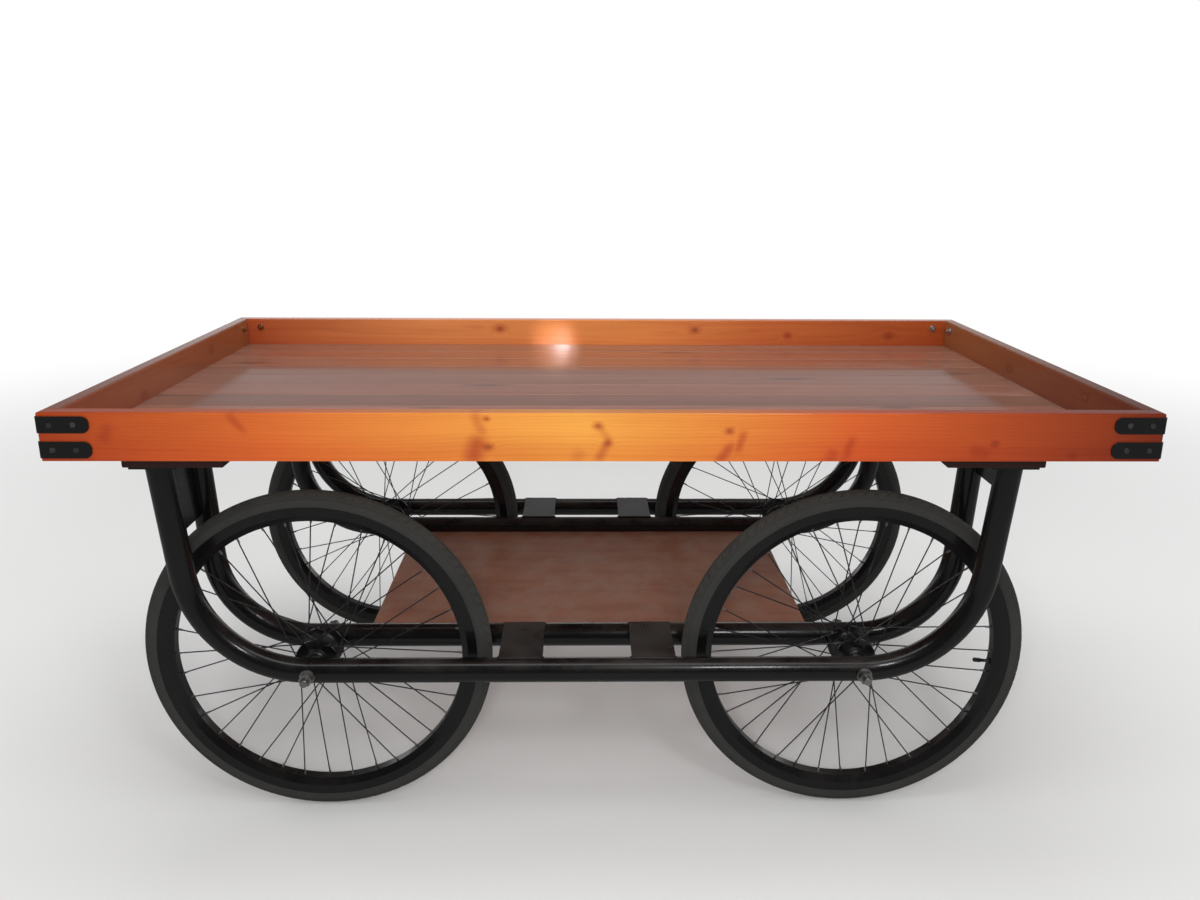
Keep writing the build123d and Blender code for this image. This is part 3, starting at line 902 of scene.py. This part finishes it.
SCREW_SPREAD = 0.027
SCREW_WASHER = ((0, 0.0), (0.0130, 0.0), (0.0130, -0.0016), (0, -0.0016))
SCREW_HEAD = ((0, -0.0014), (0.0098, -0.0014), (0.0098, -0.0072), (0.0086, -0.0084), (0, -0.0084))
coach_screws = bmesh.new()
for sx in (-1, 1):
    for sy in (-1, 1):
        for along in (-SCREW_SPREAD, SCREW_SPREAD):
            x = CHASSIS_SHIFT + sx * SEAT_PLACE + along
            spot = Matrix.Translation((x, sy * WHEEL_LINE, SEAT_BASE))
            lathe(coach_screws, SCREW_WASHER, spot)
            turned = spot @ Matrix.Rotation(random.uniform(0, 1), 4, "Z")
            lathe(coach_screws, SCREW_HEAD, turned, steps=6, flat=True)
keep("coach_screws", coach_screws, "chassis", "plain_steel")
print("nails", len(CROSS_PIECES) * len(NAIL_SHARES) * PLANK_COUNT)

# %% [markdown]
# ## Welds
# Every joint of the chassis is welded by hand. A weld is a row of overlapping drops, so it is
# drawn as a tube along the seam whose radius swells and shrinks along its length. It sits half
# sunk in the corner between the two pieces. The lists below are the seams: round the top of each
# leg, down both edges of the upright tie, along and across the rail ties, and under the cross bars.

# %% Weld beads

RIPPLE, RIPPLE_STEP, UNEVEN = 0.16, 2.2, 0.05
TAPER = 0.35
LEGS = (
    # distance across, place of the foot, lean in degrees, side where the other pipe of the pair is
    (OUTER, 0.765, 5.1, -1),
    (INNER, 0.770, 3.1, 1),
)
UPRIGHT_WELD, UPRIGHT_LEAN, UPRIGHT_HALF = 0.056, 4.1, 0.0035
BAR_HALF = 0.0133
# The radius of each bead. The offsets below, mostly under a millimetre, sink it into its corner.
LEG_BEAD, UPRIGHT_BEAD, TIE_BEAD, END_BEAD = 0.0030, 0.0026, 0.0032, 0.0024


def bead(mesh, points, radius, closed=False, sides=8):
    """A rippled tube along a fine row of points."""
    rings = []
    count = len(points)
    for k, point in enumerate(points):
        before = points[(k - 1) % count] if closed or k else point
        after = points[(k + 1) % count] if closed or k < count - 1 else point
        turn = (after - before).to_track_quat("Z", "Y").to_matrix()
        swell = radius * (1.0 + RIPPLE * sin(k * RIPPLE_STEP) + random.uniform(-UNEVEN, UNEVEN))
        if not closed and k in (0, count - 1):
            swell *= TAPER
        rings.append([mesh.verts.new(point + turn @ offset) for offset in circle(swell, 0, sides)])
    for ring, after in list(zip(rings, rings[1:])) + ([(rings[-1], rings[0])] if closed else []):
        for j in range(sides):
            nxt = (j + 1) % sides
            mesh.faces.new((ring[j], ring[nxt], after[nxt], after[j])).smooth = True
    if not closed:
        mesh.faces.new(rings[0])
        mesh.faces.new(rings[-1])


def seam(start, end, spacing=0.0016):
    """Evenly spaced points from start to end."""
    start, end = Vector(start), Vector(end)
    count = max(3, round((end - start).length / spacing))
    return [start.lerp(end, k / count) for k in range(count + 1)]


rail_top = RAIL_HEIGHT + TUBE
rail_foot = RAIL_HEIGHT - TUBE
for side in ("near", "far"):
    sy = SIGNS[side]
    welds = bmesh.new()
    for sx in (-1, 1):
        tie_x = CHASSIS_SHIFT + sx * TIE_PLACE
        for distance, spread, lean, inwards in LEGS:
            rise = SEAT_BASE - RAIL_HEIGHT
            leg_x = CHASSIS_SHIFT + sx * (spread + rise * tan(radians(lean)))
            leg_top = Vector((leg_x, sy * distance, SEAT_BASE - 0.0010))
            ring = [leg_top + point for point in circle(TUBE + 0.0008, 0, 96)]
            bead(welds, ring, LEG_BEAD, closed=True)
            edge_y = sy * (distance + inwards * TUBE * 0.995)
            for offset in (-UPRIGHT_HALF, UPRIGHT_HALF):
                head_x = CHASSIS_SHIFT + sx * SEAT_PLACE + offset
                foot_x = head_x - sx * UPRIGHT_WELD * tan(radians(UPRIGHT_LEAN))
                foot = (foot_x, edge_y, SEAT_BASE - UPRIGHT_WELD)
                bead(welds, seam(foot, (head_x, edge_y, SEAT_BASE - 0.001)), UPRIGHT_BEAD)
            line_y = sy * (distance - inwards * 0.0012)
            line = [(tie_x + end * TIE_HALF, line_y, rail_top + 0.0010) for end in (-1, 1)]
            bead(welds, seam(*line), TIE_BEAD)
            for end in (-1, 1):
                x = tie_x + end * (TIE_HALF + 0.0008)
                reach = sy * (distance + inwards * 0.007)
                start, stop = (x, line_y, rail_top + 0.0008), (x, reach, rail_top - 0.0002)
                bead(welds, seam(start, stop), END_BEAD)
        for offset in (-BAR_HALF, BAR_HALF):
            start = (tie_x + offset, sy * (INNER - TUBE * 0.98), rail_foot + 0.003)
            stop = (tie_x + offset, sy * (INNER - 0.004), rail_foot - 0.001)
            bead(welds, seam(start, stop), END_BEAD)
    obj = keep(f"welds_{side}", welds, "chassis", "black_paint")
    print(obj.name, len(obj.data.polygons), "faces")

# %% [markdown]
# ## Shelf screws
# The shelf is screwed to its two cross bars. The heads are countersunk, so each is a shallow dish
# with a cross-shaped recess in real life; at this size a dished disc reads the same.

# %% Shelf screws

SHELF_SCREWS = (-0.235, -0.080, 0.080, 0.235)
SCREW = ((0.0042, -0.0004), (0.0042, 0.0002), (0.0034, 0.0003), (0.0016, -0.0003), (0, -0.0005))
screws = bmesh.new()
for sx in (-1, 1):
    for y in SHELF_SCREWS:
        x = CHASSIS_SHIFT + sx * TIE_PLACE + random.uniform(-0.003, 0.003)
        spot = (x, y + random.uniform(-0.006, 0.006), SHELF_TOP)
        lathe(screws, SCREW, aim(spot, (0, 0, 1)), steps=14)
keep("shelf_screws", screws, "chassis", "plain_steel")
print("screws", 2 * len(SHELF_SCREWS))

# %% [markdown]
# ## Floor and room
# The floor is a pale disc that fades to white before its edge, so no horizon line crosses the
# picture. From below it is clear, so the underside of the cart can be looked at. Gloss paint and
# varnish are judged by what they mirror, and in an all-white room black enamel turns grey. So the
# camera sees white, the lamps and a dimmer room light the cart, and reflections see a third room:
# dark in front, paler behind, and palest near the horizon, where the tray's floor mirrors it.

# %% Floor and room

FLOOR_RADIUS = 30.0
FADE_START, FADE_END = 1.7, 5.5
WHITE = (1.0, 1.0, 1.0, 1.0)
PALE_GREY = (0.80, 0.80, 0.795, 1.0)
MIRRORED_FLOOR, MIRRORED_SHARE = 0.14, 0.9
ROOM_LIGHT = 0.55
MIRRORED_FRONT, MIRRORED_BACK, MIRRORED_HORIZON = 0.03, 0.22, 1.5
HORIZON_TOP, HORIZON_SOFTNESS = 0.24, 0.12

floor_mesh = bmesh.new()
bmesh.ops.create_circle(floor_mesh, cap_ends=True, segments=96, radius=FLOOR_RADIUS)
floor_data = bpy.data.meshes.new("studio_floor")
floor_mesh.to_mesh(floor_data)
floor_mesh.free()
floor = bpy.data.objects.new("studio_floor", floor_data)
bpy.context.scene.collection.objects.link(floor)

pale = Finish("pale_floor", colour=PALE_GREY, rough=0.85, specular=0.2)
path = pale.node("LightPath")
camera_ray, glossy_ray = path.of("Is Camera Ray"), path.of("Is Glossy Ray")
faded = pale.step((pale.x * pale.x + pale.y * pale.y).root(), FADE_START, FADE_END)
glow_strength = camera_ray + glossy_ray * MIRRORED_FLOOR
glow = pale.node("Emission", inputs={"Color": WHITE, "Strength": glow_strength})
share = (faded * camera_ray).high(glossy_ray * MIRRORED_SHARE)
above = pale.node("MixShader", inputs={0: share, 1: Wire(pale.tree, pale.shader.outputs[0]), 2: glow})
from_below = pale.node("NewGeometry").of("Backfacing")
surface = pale.node("MixShader", inputs={0: from_below, 1: above, 2: pale.node("BsdfTransparent")})
plug(pale.tree, pale.tree.nodes["Material Output"].inputs["Surface"], surface)
dress(floor, pale)

world = bpy.data.worlds.new("pale_room")
bpy.context.scene.world = world
world.use_nodes = True
room = Tree(world.node_tree)
path = room.node("LightPath")
camera_ray, glossy_ray = path.of("Is Camera Ray"), path.of("Is Glossy Ray")
_, away, upwards = room.split(room.node("TexCoord").of("Generated"))
away = away.high(0.0)
level = ((HORIZON_TOP - upwards) / HORIZON_SOFTNESS).high(0.0).low(1.0)
mirrored = MIRRORED_FRONT + away * (MIRRORED_BACK - MIRRORED_FRONT)
mirrored = mirrored + away * level * (MIRRORED_HORIZON - MIRRORED_BACK)
rest = ROOM_LIGHT * (1.0 - camera_ray) * (1.0 - glossy_ray)
background = room.tree.nodes["Background"]
plug(room.tree, background.inputs["Color"], WHITE)
plug(room.tree, background.inputs["Strength"], camera_ray + glossy_ray * mirrored + rest)
print("floor", floor.name, "room", world.name)

# %% [markdown]
# ## Lamps
# Soft lamps do the plain lighting: one above, one in front, one at each end so that no side goes
# dark, and one close to the lens, which makes the long board fade towards its ends. Four of the
# eight also show in reflections: the lamp above, a strip over the front edge that draws a bright
# line along the pipes, a small square lamp for their glint, and a narrow beam from beside the
# lens. The beam puts the gleam in the far corner of the varnish: a floor and a wall at right
# angles send light straight back to where it came from.

# %% Lamps

LENS_SIDE = (-0.157, -2.10, 1.32)
SOFTBOXES = (
    # name, place, target, width, height, watts, seen in reflections
    ("top_light", (0.0, 0.4, 3.4), (0.0, 0.0, 0.6), 3.2, 1.6, 40.0, True),
    ("strip_light", (0.0, -1.17, 3.4), (0.0, -0.44, 0.38), 3.0, 0.7, 14.0, True),
    ("small_light", (0.7, -2.3, 2.3), (0.0, 0.0, 0.5), 0.4, 0.4, 10.0, True),
    ("lens_light", LENS_SIDE, (0.0, 0.0, 0.8), 0.16, 0.10, 9.8, False),
    ("front_light", (-0.3, -3.6, 2.3), (0.0, 0.0, 0.6), 2.2, 1.4, 23.0, False),
    ("left_light", (-4.4, 0.6, 1.7), (0.0, 0.0, 0.6), 1.6, 1.6, 26.0, False),
    ("right_light", (4.4, 0.6, 1.7), (0.0, 0.0, 0.6), 1.6, 1.6, 26.0, False),
)
GLEAM_TARGET = (-0.125, 0.472, 0.850)
GLEAM_WATTS, GLEAM_WIDTH, GLEAM_BLUR, GLEAM_SIZE = 150.0, radians(3.0), 0.7, 0.03


def hang(name, kind, place, target, power, mirrored):
    """A lamp of any kind that looks at a point."""
    lamp = bpy.data.lights.new(name, kind)
    lamp.energy = power
    obj = bpy.data.objects.new(name, lamp)
    obj.location = place
    obj.rotation_mode = "QUATERNION"
    obj.rotation_quaternion = (Vector(target) - Vector(place)).to_track_quat("-Z", "Y")
    obj.visible_camera = False
    obj.visible_glossy = mirrored
    bpy.context.scene.collection.objects.link(obj)
    return lamp


for name, place, target, width, height, power, mirrored in SOFTBOXES:
    lamp = hang(name, "AREA", place, target, power, mirrored)
    lamp.shape = "RECTANGLE"
    lamp.size, lamp.size_y = width, height
beam = hang("gleam", "SPOT", LENS_SIDE, GLEAM_TARGET, GLEAM_WATTS, True)
beam.shadow_soft_size = GLEAM_SIZE
beam.spot_size, beam.spot_blend = GLEAM_WIDTH, GLEAM_BLUR

# %% [markdown]
# ## The camera
# The picture was taken standing close to the cart, a little above the tray. Its place and angle
# were worked out from the corners of the tray and the outlines of wheels and pipes. The lens
# points at a row a little above the middle of the picture, which a shift of the lens gives.

# %% Camera

PHOTO_WIDTH, PHOTO_HEIGHT = 1200, 900
FOCAL_PIXELS = 911.9
AXIS_ROW = 391.0
CAMERA_PLACE = (-0.0409, -2.0742, 1.3488)
PITCH, YAW, ROLL = radians(14.318), radians(1.025), radians(0.353)

lens = bpy.data.cameras.new("camera")
lens.sensor_width = 36.0
lens.lens = FOCAL_PIXELS / PHOTO_WIDTH * lens.sensor_width
lens.shift_y = (AXIS_ROW - PHOTO_HEIGHT / 2) / PHOTO_WIDTH
camera = bpy.data.objects.new("camera", lens)
heading, tilt = Matrix.Rotation(-YAW, 4, "Z"), Matrix.Rotation(pi / 2 - PITCH, 4, "X")
camera.matrix_world = Matrix.Translation(CAMERA_PLACE) @ heading @ tilt @ Matrix.Rotation(ROLL, 4, "Z")
bpy.context.scene.collection.objects.link(camera)
bpy.context.scene.camera = camera
bpy.context.scene.view_settings.view_transform = "Standard"
print("camera at", CAMERA_PLACE, "with a lens of", round(lens.lens, 2), "mm")

# %% [markdown]
# ## The box of the solids
# Whatever is added here must stay inside the box of the solids, or the cart would no longer have the size
# that the CAD gives it.
